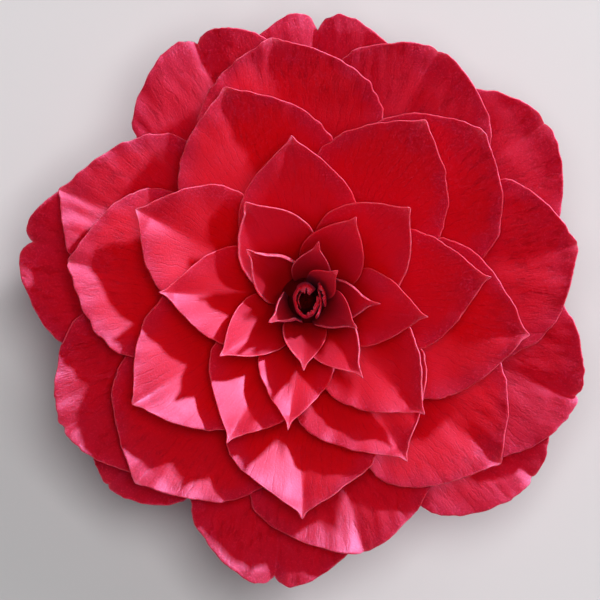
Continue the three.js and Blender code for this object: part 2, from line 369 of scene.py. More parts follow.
class Nodes:
    """Writes a material's node tree in few words."""

    # A mix node's colour sockets go by number, as other kinds of mix share their names.
    MIX_FIRST = 6
    MIX_SECOND = 7
    MIX_RESULT = 2

    def __init__(self, name: str) -> None:
        """Starts a material with a Principled shader.

        Args:
            name: the material's name.
        """
        self.material = bpy.data.materials.new(name)
        self.material.use_nodes = True
        self.tree = self.material.node_tree
        self.tree.nodes.clear()
        self.shader = self.add("ShaderNodeBsdfPrincipled")
        self.feed(self.shader.outputs["BSDF"], self.add("ShaderNodeOutputMaterial").inputs["Surface"])

    def add(self, kind: str, **settings: object) -> bpy.types.Node:
        """Adds a node and sets its properties and inputs.

        Args:
            kind: the node's type name.
            **settings: a property's value, or an input's where its name is one of the node's inputs.

        Returns:
            The new node.
        """
        node = self.tree.nodes.new(kind)
        for key, value in settings.items():
            if hasattr(node, key):
                setattr(node, key, value)
            else:
                node.inputs[key].default_value = value
        return node

    def feed(self, value: Value, socket: Socket) -> None:
        """Links a socket to another, or gives it a plain value.

        Args:
            value: a socket, a number or a colour.
            socket: the input that takes it.
        """
        if isinstance(value, Socket):
            self.tree.links.new(value, socket)
        else:
            socket.default_value = value

    def fix(self, **values: float | tuple[float, ...]) -> None:
        """Sets the shader's inputs, by name with _ for a space, to what holds all over the surface."""
        for key, value in values.items():
            self.shader.inputs[key.replace("_", " ")].default_value = value

    def trait(self, name: str) -> Socket:
        """A value that the mesh stores for each point."""
        return self.add("ShaderNodeAttribute", attribute_name=name).outputs["Fac"]

    def place(self) -> Socket:
        """The point's place in the bloom, in metres."""
        return self.add("ShaderNodeTexCoord").outputs["Object"]

    def math(self, operation: str, first: Value, second: Value = 0.0) -> Socket:
        """One sum.

        Args:
            operation: the sum's name.
            first: a value or a socket.
            second: another, where the sum takes two.

        Returns:
            The result.
        """
        node = self.add("ShaderNodeMath", operation=operation)
        self.feed(first, node.inputs[0])
        self.feed(second, node.inputs[1])
        return node.outputs[0]

    def times(self, first: Value, second: Value) -> Socket:
        """One value times another."""
        return self.math("MULTIPLY", first, second)

    def plus(self, first: Value, second: Value) -> Socket:
        """One value and another."""
        return self.math("ADD", first, second)

    def larger(self, first: Value, second: Value) -> Socket:
        """The larger of two values."""
        return self.math("MAXIMUM", first, second)

    def ramp(self, value: Socket, band: Band) -> Socket:
        """Passes a value through a band.

        Args:
            value: the value.
            band: the band.

        Returns:
            The result.
        """
        node = self.add("ShaderNodeMapRange", interpolation_type="SMOOTHSTEP")
        self.feed(value, node.inputs["Value"])
        for name, number in (("From Min", band.low), ("From Max", band.high),
                             ("To Min", band.start), ("To Max", band.end)):
            node.inputs[name].default_value = number
        return node.outputs["Result"]

    def mix(self, share: Value, first: Value, second: Value) -> Socket:
        """Mixes two colours.

        Args:
            share: how much of the second there is.
            first: a colour.
            second: another.

        Returns:
            The mixed colour.
        """
        node = self.add("ShaderNodeMix", data_type="RGBA")
        self.feed(share, node.inputs["Factor"])
        self.feed(first, node.inputs[self.MIX_FIRST])
        self.feed(second, node.inputs[self.MIX_SECOND])
        return node.outputs[self.MIX_RESULT]

    def noise(self, place: Socket, grain: Grain) -> Socket:
        """A noise value.

        Args:
            place: where the noise is read.
            grain: the pattern.

        Returns:
            A value round 0.5.
        """
        node = self.add("ShaderNodeTexNoise", Scale=grain.scale, Detail=grain.detail,
                        Roughness=grain.roughness)
        self.feed(place, node.inputs["Vector"])
        return node.outputs["Fac"]

    def vector(self, *values: Value) -> Socket:
        """Makes one vector of three values.

        Args:
            *values: the three values.

        Returns:
            The vector.
        """
        node = self.add("ShaderNodeCombineXYZ")
        for value, socket in zip(values, node.inputs):
            self.feed(value, socket)
        return node.outputs[0]

    def bump(self, height: Socket, distance: float, strength: float) -> None:
        """Gives the surface a fine relief.

        Args:
            height: the relief's height as a share of the distance.
            distance: how far it stands out, in metres.
            strength: how strongly it shows.
        """
        node = self.add("ShaderNodeBump", Strength=strength, Distance=distance)
        self.feed(height, node.inputs["Height"])
        self.feed(node.outputs["Normal"], self.shader.inputs["Normal"])

    def dress(self, colour: Socket, roughness: Value) -> bpy.types.Material:
        """Gives the surface its colour and roughness.

        Args:
            colour: the colour.
            roughness: the roughness.

        Returns:
            The finished material.
        """
        self.feed(colour, self.shader.inputs["Base Color"])
        self.feed(roughness, self.shader.inputs["Roughness"])
        return self.material


@dataclass(frozen=True)
class PetalFinish:
    """Velvety crimson petal: deep at its root and rosy at its end, with fine veins and a pale margin that is
    partly a painted highlight. Painted shade darkens the roots, the heart's pit, the crinkles' furrows and
    the outer petals, and pale speckles are painted glints.

    A band's name says what it reads: out and margin are distances in millimetres from the axis and the
    margin, along is a share of the reach, outer is the petal's place in the spiral as a share, and the
    others read a noise.
    """

    deep: Colour = (0.56, 0.0004, 0.002, 1.0)
    middle: Colour = (0.65, 0.002, 0.007, 1.0)
    # Painted shade: a darker, cooler red over the outer petals.
    outer_painted_shade: Colour = (0.46, 0.005, 0.022, 1.0)
    # Painted shade: darker towards each petal's root near the heart, where the petals above shade it.
    painted_root_shade: Colour = (0.30, 0.0001, 0.0006, 1.0)
    # Painted shade: near black round the heart's pit, where the inner petals and the receptacle stand in
    # shade.
    painted_pit_shade: Colour = (0.05, 0.0001, 0.0001, 1.0)
    rosy: Colour = (0.44, 0.008, 0.036, 1.0)
    vein: Colour = (0.36, 0.0004, 0.004, 1.0)
    # Painted highlight: pale pink glints that stand for the glitter of the velvety surface.
    painted_glint: Colour = (0.82, 0.075, 0.18, 1.0)
    # Partly the margin's own paler colour, partly a painted highlight of the rim catching the light.
    pale: Colour = (0.88, 0.25, 0.28, 1.0)
    back: Colour = (0.88, 0.18, 0.26, 1.0)

    clouds: Grain = Grain(90.0, 3.0)
    cloud_drift: float = 0.25
    # A fine grain that both the painted glints and the relief read.
    speckles: Grain = Grain(2700.0, 2.0, 0.65)

    middle_along: Band = Band(0.45, 1.05)
    outer_painted_shade_band: Band = Band(0.6, 0.82, 0.0, 0.75)
    painted_root_shade_out: Band = Band(14.0, 4.0, 0.0, 0.5)
    painted_pit_shade_out: Band = Band(4.4, 2.2, 0.0, 0.96)

    border_wander: Grain = Grain(260.0, 3.0, 0.6)
    border_wander_by: float = 5.0
    border_margin: Band = Band(7.5, 2.0)
    border_outer: Band = Band(0.1, 0.7, 0.35, 0.9)
    border_along: Band = Band(0.3, 0.7)

    painted_glint_margin: Band = Band(6.5, 1.6, 0.12, 0.6)
    painted_glint_along: Band = Band(0.5, 1.0, 0.08, 0.3)
    painted_glint_out: Band = Band(5.0, 20.0, 0.25, 1.0)
    painted_glint_speckles: Band = Band(0.48, 0.70)

    rim_and_highlight_wander: Grain = Grain(700.0)
    rim_and_highlight_wander_by: float = 0.3
    rim_and_highlight_margin: Band = Band(0.40, 0.16)
    rim_and_highlight_out: Band = Band(4.0, 16.0, 0.09, 0.21)

    scuffs: Grain = Grain(1300.0, 2.0, 0.6)
    back_scuffs: Band = Band(0.36, 0.62, 0.3, 0.85)

    vein_bands: float = 19.0
    vein_length: float = 0.16
    vein_bends: float = 5.0
    vein_bending: Grain = Grain(1.0, 4.0, 0.6)
    vein_bend_by: float = 0.10
    vein_width: Band = Band(0.34, 0.0)
    vein_break_length: float = 3.0
    vein_breaking: Grain = Grain(1.0, 2.0)
    vein_breaks: Band = Band(0.38, 0.62)
    veins_out: tuple[Band, ...] = (Band(4.0, 12.0), Band(15.0, 23.0, 0.0, 0.85), Band(31.0, 39.0, 0.0, 0.7))
    vein_depth: float = 0.40
    vein_furrow: float = 0.35

    # Crinkles: a mask for their relief and for the painted shade in their furrows.
    crinkle_lanes: float = 42.0
    crinkle_length: float = 0.32
    crinkling: Grain = Grain(1.0, 2.0, 0.6)
    crinkles_shown: Band = Band(0.5, 0.68)
    crinkles_out: Band = Band(24.0, 42.0, 0.0, 0.62)

    roughness: Band = Band(0.3, 0.7, 0.56, 0.68)
    refraction: float = 2.05
    gloss: float = 1.0
    gloss_tint: Colour = (1.0, 0.58, 1.0, 1.0)
    sheen: float = 0.05
    sheen_roughness: float = 0.35
    sheen_tint: Colour = (1.0, 0.40, 0.75, 1.0)
    glow: float = 0.8
    glow_radius: tuple[float, float, float] = (1.0, 0.05, 0.08)
    glow_scale: float = 0.0012
    grain_relief: float = 0.7
    relief: float = 0.00010
    relief_strength: float = 0.45

    def material(self, name: str) -> bpy.types.Material:
        """The petals' material.

        Args:
            name: the material's name.

        Returns:
            The material, which reads the traits along, lane, out, margin, curl, outer and seed.
        """
        n = Nodes(name)
        cloud = n.noise(n.place(), self.clouds)
        grain = n.noise(n.place(), self.speckles)
        veins = self._veins(n)
        crinkles = self._crinkles_and_painted_shade(n)
        wander = n.times(n.noise(n.place(), self.border_wander), self.border_wander_by)
        inwards = n.plus(n.trait("margin"), wander)
        # Painted glints: pale speckles, more towards margins and ends, that stand for glitter.
        speckles = n.times(n.ramp(grain, self.painted_glint_speckles), self._painted_glints(n, inwards))
        scuffs = n.ramp(n.noise(n.place(), self.scuffs), self.back_scuffs)
        colour = self._ground(n, cloud)
        colour = n.mix(self._border(n, inwards), colour, self.rosy)
        colour = n.mix(n.times(veins, self.vein_depth), colour, self.vein)
        # Painted shade: the crinkles' furrows darkened with the vein colour.
        colour = n.mix(crinkles, colour, self.vein)
        # Painted highlight: the pale glint speckles.
        colour = n.mix(speckles, colour, self.painted_glint)
        # Pale rim: partly the paler margin, partly a painted highlight.
        colour = n.mix(self._pale_rim_and_highlight(n), colour, self.pale)
        colour = n.mix(n.times(n.trait("curl"), scuffs), colour, self.back)
        n.fix(IOR=self.refraction, Specular_IOR_Level=self.gloss, Specular_Tint=self.gloss_tint)
        n.fix(Sheen_Weight=self.sheen, Sheen_Roughness=self.sheen_roughness, Sheen_Tint=self.sheen_tint)
        n.fix(Subsurface_Weight=self.glow, Subsurface_Radius=self.glow_radius)
        n.fix(Subsurface_Scale=self.glow_scale)
        furrows = n.plus(n.times(veins, self.vein_furrow), crinkles)
        height = n.math("SUBTRACT", n.times(grain, self.grain_relief), furrows)
        n.bump(height, self.relief, self.relief_strength)
        return n.dress(colour, n.ramp(cloud, self.roughness))

    def _ground(self, n: Nodes, cloud: Socket) -> Socket:
        """The petal's broad colours, with painted shade towards the roots, round the heart's pit and over the
        outer petals.

        Args:
            n: the material's nodes.
            cloud: a coarse noise.

        Returns:
            The colour, before its margin, veins and painted glints.
        """
        along = n.plus(n.trait("along"), n.times(cloud, self.cloud_drift))
        colour = n.mix(n.ramp(along, self.middle_along), self.deep, self.middle)
        # Painted shade over the outer petals.
        colour = n.mix(n.ramp(n.trait("outer"), self.outer_painted_shade_band), colour, self.outer_painted_shade)
        # Painted shade towards the roots near the heart.
        colour = n.mix(n.ramp(n.trait("out"), self.painted_root_shade_out), colour, self.painted_root_shade)
        # Painted shade: near black round the heart's pit.
        return n.mix(n.ramp(n.trait("out"), self.painted_pit_shade_out), colour, self.painted_pit_shade)

    def _border(self, n: Nodes, inwards: Socket) -> Socket:
        """How much of the broad rosy border shows, at this uneven distance from the margin."""
        border = n.times(n.ramp(inwards, self.border_margin), n.ramp(n.trait("outer"), self.border_outer))
        return n.times(border, n.ramp(n.trait("along"), self.border_along))

    def _painted_glints(self, n: Nodes, inwards: Socket) -> Socket:
        """How far painted glints, pale speckles that stand for the glitter of the velvety surface, cover the
        petal: more near its margin and end, and less near the heart.
        """
        frosted = n.larger(n.ramp(inwards, self.painted_glint_margin), n.ramp(n.trait("along"), self.painted_glint_along))
        return n.times(frosted, n.ramp(n.trait("out"), self.painted_glint_out))

    def _pale_rim_and_highlight(self, n: Nodes) -> Socket:
        """The thin pale rim: partly the margin's own paler colour, partly a painted highlight.

        Args:
            n: the material's nodes.

        Returns:
            How much of it shows.
        """
        wander = n.times(n.noise(n.place(), self.rim_and_highlight_wander), self.rim_and_highlight_wander_by)
        rim_and_highlight = n.ramp(n.plus(n.trait("margin"), wander), self.rim_and_highlight_margin)
        return n.times(rim_and_highlight, n.ramp(n.trait("out"), self.rim_and_highlight_out))

    def _crinkles_and_painted_shade(self, n: Nodes) -> Socket:
        """Crinkles that run outwards on the outer petals, for their relief and for the painted shade in their
        furrows.

        Args:
            n: the material's nodes.

        Returns:
            How much of them shows.
        """
        spot = n.vector(n.times(n.trait("lane"), self.crinkle_lanes),
                        n.times(n.trait("out"), self.crinkle_length), n.trait("seed"))
        crinkles = n.ramp(n.noise(spot, self.crinkling), self.crinkles_shown)
        return n.times(crinkles, n.ramp(n.trait("out"), self.crinkles_out))

    def _veins(self, n: Nodes) -> Socket:
        """Fine lines that fan out from the root, with new ones between them towards the margin.

        Args:
            n: the material's nodes.

        Returns:
            How much of them shows.
        """
        lane = n.trait("lane")
        seed = n.trait("seed")
        out = n.times(n.trait("out"), self.vein_length)
        bend = n.noise(n.vector(n.times(lane, self.vein_bends), out, seed), self.vein_bending)
        lane = n.plus(lane, n.times(bend, self.vein_bend_by))
        lines = []
        for step, shown in enumerate(self.veins_out):
            bands = self.vein_bands * 2**step
            wave = n.math("ABSOLUTE", n.math("SINE", n.times(lane, bands * math.pi)))
            spot = n.vector(n.times(lane, bands), n.times(out, self.vein_break_length), seed)
            breaks = n.ramp(n.noise(spot, self.vein_breaking), self.vein_breaks)
            line = n.times(n.ramp(wave, self.vein_width), breaks)
            lines.append(n.times(line, n.ramp(n.trait("out"), shown)))
        return functools.reduce(n.larger, lines)


@dataclass(frozen=True)
class ScaleFinish:
    """Leathery green bract with silky hairs, flushed brown-pink towards its margin."""

    green: Colour = (0.16, 0.20, 0.045, 1.0)
    yellow: Colour = (0.34, 0.34, 0.10, 1.0)
    flush: Colour = (0.30, 0.07, 0.06, 1.0)
    silk: Colour = (0.62, 0.60, 0.42, 1.0)
    clouds: Grain = Grain(260.0, 4.0, 0.6)
    yellow_clouds: Band = Band(0.35, 0.65)
    flush_along: Band = Band(0.45, 1.0)
    flush_clouds: Band = Band(0.25, 0.7)
    flush_margin: Band = Band(0.9, 0.1)
    hair: Grain = Grain(1.0, 3.0, 0.7)
    hairs_across: float = 60.0
    hairs_along: float = 5.0
    silk_hairs: Band = Band(0.5, 0.8)
    silk_share: float = 0.45
    roughness: Band = Band(0.3, 0.8, 0.42, 0.62)
    sheen: float = 0.3
    relief: float = 0.00015
    relief_strength: float = 0.7

    def material(self, name: str) -> bpy.types.Material:
        """The bracts' and sepals' material.

        Args:
            name: the material's name.

        Returns:
            The material, which reads the traits along, across, margin and seed.
        """
        n = Nodes(name)
        along = n.trait("along")
        cloud = n.noise(n.place(), self.clouds)
        spot = n.vector(n.times(n.trait("across"), self.hairs_across), n.times(along, self.hairs_along),
                        n.trait("seed"))
        hairs = n.noise(spot, self.hair)
        colour = n.mix(n.ramp(cloud, self.yellow_clouds), self.green, self.yellow)
        flushed = n.times(n.ramp(along, self.flush_along), n.ramp(cloud, self.flush_clouds))
        colour = n.mix(flushed, colour, self.flush)
        colour = n.mix(n.ramp(n.trait("margin"), self.flush_margin), colour, self.flush)
        colour = n.mix(n.times(n.ramp(hairs, self.silk_hairs), self.silk_share), colour, self.silk)
        n.fix(Sheen_Weight=self.sheen)
        n.bump(n.plus(hairs, cloud), self.relief, self.relief_strength)
        return n.dress(colour, n.ramp(hairs, self.roughness))


@dataclass(frozen=True)
class StalkFinish:
    """Green-brown stalk with a paler broken end."""

    bark: Colour = (0.13, 0.12, 0.035, 1.0)
    pith: Colour = (0.42, 0.44, 0.20, 1.0)
    clouds: Grain = Grain(500.0, 4.0, 0.6)
    fibres: Grain = Grain(2600.0, 3.0, 0.7)
    pith_clouds: Band = Band(0.3, 0.7, 0.0, 0.5)
    pith_fibres: Band = Band(0.3, 0.6)
    roughness: Band = Band(0.3, 0.7, 0.6, 0.85)
    relief: float = 0.0002
    relief_strength: float = 0.8

    def material(self, name: str) -> bpy.types.Material:
        """The stalk's material.

        Args:
            name: the material's name.

        Returns:
            The material, which reads the trait cut.
        """
        n = Nodes(name)
        cloud = n.noise(n.place(), self.clouds)
        grain = n.noise(n.place(), self.fibres)
        colour = n.mix(n.ramp(cloud, self.pith_clouds), self.bark, self.pith)
        colour = n.mix(n.times(n.trait("cut"), n.ramp(grain, self.pith_fibres)), colour, self.pith)
        n.bump(n.plus(cloud, grain), self.relief, self.relief_strength)
        return n.dress(colour, n.ramp(grain, self.roughness))


@dataclass(frozen=True)
class FloorFinish:
    """Plain pale studio paper, a trace darker in places."""

    colour: Colour = (0.56, 0.55, 0.54, 1.0)
    shade: float = 0.97
    clouds: Grain = Grain(6.0)
    roughness: float = 0.9

    def material(self, name: str) -> bpy.types.Material:
        """The floor's material.

        Args:
            name: the material's name.

        Returns:
            The material.
        """
        n = Nodes(name)
        darker = (*(channel * self.shade for channel in self.colour[:3]), 1.0)
        return n.dress(n.mix(n.noise(n.place(), self.clouds), darker, self.colour), self.roughness)


# ---------------------------------------------------------------- petals


@dataclass(frozen=True)
class BloomForm:
    """How the petals of the bloom rise, spread and arch, as in the solids."""

    root_height: float = 10.0
    rise: float = 26.0
    rise_ends: float = 84.0
    rise_fall: float = 2.2
    reflex: float = 3.0
    reflex_from: float = 30.0
    reflex_over: float = 21.0
    reflex_power: float = 1.9
    reflex_share: float = 0.5
    arch_middle: float = 0.5
    arch_inner: float = 0.4
    arch_inner_fades: float = 13.0
    arch_outer: float = 0.5
    arch_outer_from: float = 25.0
    arch_outer_over: float = 30.0
    first_spread: float = 6.2
    spread_step: float = 1.45
    spread_easing: float = 0.0095
    root_free: float = 1.6
    root_gain: float = 0.12
    claw_share: float = 0.25
    claw_taper: float = 1.5
    closing: float = 1.45
    closing_if_full: float = 0.75
    blunting: float = 0.98
    blunting_if_full: float = 0.44
    cup: float = 0.9
    lift: float = 0.4
    roll: float = 0.025
    keel_fold: float = 2.5
    keel_width: float = 4.5
    keel_softness: float = 0.9
    keel_power: float = 3.0
    ruffle_share: float = 0.011
    ruffle_waves: float = 11.0
    lobe_half_width: float = 5.2

    def spread(self, place: int) -> float:
        """How wide a petal opens, by its place in the spiral."""
        return self.first_spread + self.spread_step * place - self.spread_easing * place**2

    def root_reach(self, spread: float) -> float:
        """How far from the axis a petal starts that opens so wide."""
        return self.root_free + self.root_gain * spread

    def height(self, radius: Grid, spread: float) -> Grid:
        """How high a petal stands at distances from the axis.

        Args:
            radius: distances from the axis.
            spread: how wide the petal opens.

        Returns:
            A height for each distance. At any distance a wider petal lies lower, which keeps petals apart.
        """
        share = radius / spread
        rise = self.rise * (1 - (spread / self.rise_ends) ** self.rise_fall)
        inner = self.arch_inner * math.exp((self.first_spread - spread) / self.arch_inner_fades)
        outer = self.arch_outer * min(1.0, max(0.0, (spread - self.arch_outer_from) / self.arch_outer_over))
        reflex = self.reflex * (max(0.0, spread - self.reflex_from) / self.reflex_over) ** self.reflex_power
        bent_back = (np.maximum(0.0, share - self.reflex_share) / (1 - self.reflex_share)) ** 2
        return self.root_height + rise * share ** (self.arch_middle + inner + outer) - reflex * bent_back

    def keel(self, side: Grid, share: Grid) -> Grid:
        """How far a petal folds up at distances beside its middle line and shares of its reach."""
        beside = np.hypot(side, self.keel_softness) - self.keel_softness
        return self.keel_fold * (1 - np.exp(-beside / self.keel_width)) * share**self.keel_power

    def half_width(self, widest: Grid | float, share: Grid, shoulder: float, fullness: float) -> Grid:
        """Half the width of a petal, bract or sepal at shares of its reach.

        Args:
            widest: its widest half width.
            share: shares of the reach, from 0 to 1.
            shoulder: the share at which it is widest.
            fullness: 0 for a plain point at its end, 1 for a round end.

        Returns:
            A half width for each share.
        """
        swell = np.sin(math.pi / 2 * np.minimum(share, shoulder) / shoulder) ** self.claw_taper
        below = widest * (self.claw_share + (1 - self.claw_share) * swell)
        towards_tip = np.clip((share - shoulder) / (1 - shoulder), 0.0, 1.0)
        closing = np.maximum(0.0, 1 - towards_tip ** (self.closing + self.closing_if_full * fullness))
        above = widest * closing ** (self.blunting - self.blunting_if_full * fullness)
        return np.where(share <= shoulder, below, above)


@dataclass(frozen=True)
class Petal:
    """One petal's place and outline, as in the solids.

    turn is in degrees round the axis. reach, left, right and notch are in millimetres. shoulder is where it
    is widest, as a share of its reach. fullness is 0 for a pointed end and 1 for a round one.
    """

    turn: float
    reach: float
    left: float
    right: float
    shoulder: float
    fullness: float
    notch: float = 0.0


PETALS = [
    Petal(43, 6.7, 3.3, 2.9, 0.6, 0.3),
    Petal(211, 6.8, 3.5, 3.6, 0.45, 0.35),
    Petal(331, 9.3, 4.2, 3.3, 0.45, 0.35),
    Petal(78, 9.5, 3.8, 3.6, 0.55, 0.25),
    Petal(268, 11.4, 3.9, 4.2, 0.5, 0.3),
    Petal(357, 11.9, 4.7, 4.1, 0.5, 0.1),
    Petal(140, 12.8, 5.2, 5.1, 0.5, 0.35),
    Petal(306, 15.8, 5.0, 5.1, 0.5, 0.25),
    Petal(59, 16.0, 5.6, 6.0, 0.52, 0.4),
    Petal(213, 17.1, 4.8, 6.0, 0.48, 0.4),
    Petal(352, 20.4, 7.0, 6.8, 0.48, 0.3),
    Petal(122, 19.3, 7.1, 7.7, 0.52, 0.5),
    Petal(262, 21.8, 6.6, 6.9, 0.52, 0.15),
    Petal(41.5, 23.3, 8.8, 9.2, 0.54, 0.5),
    Petal(177, 24.6, 8.7, 8.8, 0.52, 0.25),
    Petal(316, 27.6, 9.6, 9.0, 0.52, 0.35),
    Petal(95, 27.7, 10.6, 10.5, 0.52, 0.4),
    Petal(241, 27.5, 9.0, 10.2, 0.55, 0.2),
    Petal(7, 31.3, 10.2, 11.0, 0.58, 0.25),
    Petal(152, 32.6, 11.4, 11.2, 0.6, 0.5),
    Petal(302, 32.0, 12.8, 12.2, 0.55, 0.25),
    Petal(56.5, 36.6, 12.4, 13.2, 0.58, 0.55),
    Petal(211, 34.3, 12.6, 13.2, 0.6, 0.55),
    Petal(351, 38.2, 14.4, 14.0, 0.58, 0.45),
    Petal(111, 38.7, 14.0, 14.2, 0.62, 0.55),
    Petal(269, 37.0, 13.4, 13.5, 0.68, 0.2),
    Petal(44, 41.9, 13.8, 16.0, 0.66, 0.7),
    Petal(171, 41.2, 14.6, 15.2, 0.68, 0.65),
    Petal(320, 43.4, 14.4, 15.6, 0.68, 0.5),
    Petal(97.5, 45.1, 14.8, 17.4, 0.68, 0.75),
    Petal(227, 42.8, 16.8, 16.4, 0.66, 0.6),
    Petal(11.5, 47.5, 15.0, 16.4, 0.7, 0.75),
    Petal(156, 46.3, 14.2, 17.0, 0.68, 0.6),
    Petal(283, 44.4, 16.0, 17.4, 0.7, 0.65, 0.8),
    Petal(62, 48.4, 15.2, 16.2, 0.74, 0.85, 0.8),
    Petal(208, 47.1, 15.0, 16.4, 0.72, 0.8, 0.8),
    Petal(340.5, 49.4, 15.8, 15.2, 0.76, 0.85, 1.2),
    Petal(113, 48.0, 16.4, 15.0, 0.76, 1.0, 2.2),
    Petal(263.5, 48.0, 15.0, 16.2, 0.74, 0.9, 2.6),
    Petal(36.5, 51.2, 14.8, 16.2, 0.76, 0.85, 1.0),
    Petal(168, 48.4, 17.0, 14.0, 0.76, 0.9, 2.6),
    Petal(322, 49.6, 14.0, 16.0, 0.76, 0.9, 1.0),
    Petal(87.5, 47.0, 13.5, 16.0, 0.83, 1.0, 3.4),
    Petal(223, 46.8, 12.0, 12.0, 0.76, 0.9, 0.8),
]


@dataclass(frozen=True)
class RolledMargin:
    """How a petal's left and right margins roll over inwards: the rolled widths, and angles in radians."""

    left_width: float = 0.3
    left_angle: float = 0.35
    right_width: float = 0.3
    right_angle: float = 0.35


# By the petal's number from the heart outwards. The others have a plain margin.
ROLLED_MARGINS = {
    2: RolledMargin(2.2, 2.6, 1.1, 2.4),
    3: RolledMargin(0.3, 0.8, 0.9, 2.2),
    4: RolledMargin(0.4, 1.2, 0.5, 1.6),
    5: RolledMargin(0.3, 0.8, 0.7, 1.9),
    6: RolledMargin(1.4, 2.5, 0.8, 1.8),
    7: RolledMargin(1.1, 2.2, 2.0, 2.7),
    8: RolledMargin(1.1, 2.3, 0.4, 1.0),
    10: RolledMargin(0.5, 1.2, 0.3, 0.8),
    12: RolledMargin(1.2, 2.0, 0.8, 1.8),
    14: RolledMargin(0.3, 0.8, 0.7, 1.5),
    16: RolledMargin(0.8, 1.6, 0.0, 0.0),
    21: RolledMargin(0.8, 1.5, 0.0, 0.0),
    26: RolledMargin(0.5, 1.0, 0.3, 0.8),
}
PLAIN_MARGIN = RolledMargin()


@dataclass(frozen=True)
class PetalDetail:
    """What the living petal has beyond the solids' plain one.

    Lengths are in millimetres. A band named along reads shares of the reach, and one named out reads
    distances from the axis. What is named if_full counts for a round end, and less towards a pointed one.
    """

    # The mesh's points.
    fewest_rows: int = 34
    rows_per_mm: float = 0.75
    row_crowding: float = 1.4
    row_crowding_if_full: float = 0.7
    fewest_columns: int = 13
    columns_per_mm: float = 0.32
    even_columns: float = 0.35

    # The sheet's thickness.
    thickness: float = 0.32
    rim_thickness: float = 0.12
    rim_width: float = 0.7

    # What depends on a petal's reach.
    grown_reach: float = 30.0
    unevenness_by_reach: Band = Band(4.0, 48.0, 0.0, 0.8)
    broad_reach: float = 40.0
    broad_fold: float = 0.5
    narrow_folds: tuple[float, float] = (0.8, 1.3)
    fold_seed: int = 500

    # Its tip: how much a round end takes from it, how far it is drawn in, out and up, and its curled point.
    tip_lost_if_full: float = 0.8
    drawn_in: float = 0.58
    drawn_over: float = 2.2
    drawn_over_least: float = 0.5
    tail: float = 0.9
    tail_over: float = 0.4
    hook: float = 1.1
    hook_along: Band = Band(0.92, 1.0)
    pinch: float = 1.0
    pinch_softness: float = 0.8
    pinch_width: float = 1.1
    pinch_over: float = 1.0
    pinch_over_by_reach: float = 0.09
    pinch_lost_if_full: float = 0.7
    tip_curl: float = 0.9
    tip_curl_over: float = 0.55

    # Its margin: nibbles beside it, teeth on its end, a notch with a crease, and a frill.
    coarse_nibbles: float = 0.7
    fine_nibbles: float = 0.3
    nibbles_apart: float = 17.0
    nibbles_along: Band = Band(0.3, 0.6)
    margin_ends: Band = Band(1.0, 0.93)
    coarse_teeth: float = 0.6
    fine_teeth: float = 0.3
    coarse_teeth_row: float = 40.0
    fine_teeth_row: float = 20.0
    teeth_power: int = 12
    notch_power: int = 6
    crease: float = 0.3
    crease_width: float = 0.8
    crease_power: int = 9
    frill_height: float = 0.7
    frill_centre: float = 0.45
    frill_width: float = 0.5
    frill_width_by_reach: float = 0.05
    frill_along: Band = Band(0.3, 0.7)
    roll_along: Band = Band(0.25, 0.5)
    widest_roll: float = 0.66
    least_roll: float = 0.05

    # Its face: a pillow on each side, dents and crinkles.
    pillow: float = 0.3
    pillow_power: float = 0.8
    dents: float = 0.2
    dents_along: Band = Band(0.25, 0.6)
    crinkles: float = 0.23
    crinkle_length: float = 0.3
    crinkles_out: Band = Band(26.0, 42.0)
    lane_root: float = 0.12
    seed_step: float = 3.7

    # What stands higher than this is eased down towards it.
    eased_from: float = 37.0
    eased_over: float = 2.2

    # The unevenness of each.
    dent_waver: Waver = Waver(100, 10.0)
    crinkle_waver: Waver = Waver(600, 2.3, 14)
    ragged_waver: Waver = Waver(700, 3.0, 9)
    nick_waver: Waver = Waver(800, 1.4, 9)
    frill_waver: Waver = Waver(900, 6.5, 9)


